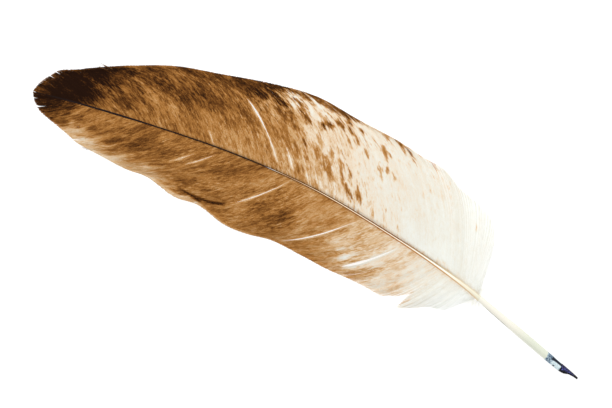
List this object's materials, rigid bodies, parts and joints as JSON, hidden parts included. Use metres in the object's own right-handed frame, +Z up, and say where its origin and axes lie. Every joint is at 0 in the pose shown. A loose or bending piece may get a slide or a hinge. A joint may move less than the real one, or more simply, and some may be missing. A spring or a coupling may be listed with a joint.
{
  "type": "quill feather",
  "caption": "Large mottled flight feather lying flat, with a broad and a narrow vane and an ivory barrel cut to an inked writing nib.",
  "frame": {"origin": "middle of the feather's footprint, on the surface that it lies on", "axes": "+X along the feather from its tip to the nib, +Y towards the broad vane, +Z up from the surface"},
  "size_m": [0.3014, 0.0768, 0.0091],
  "materials": {
    "vane": "matte, fine barbs, mottled brown and cream",
    "shaft": "smooth satin horn, dark towards the tip"
  },
  "bodies": {
    "root": {"feather": "vane"}
  },
  "joints": []
}
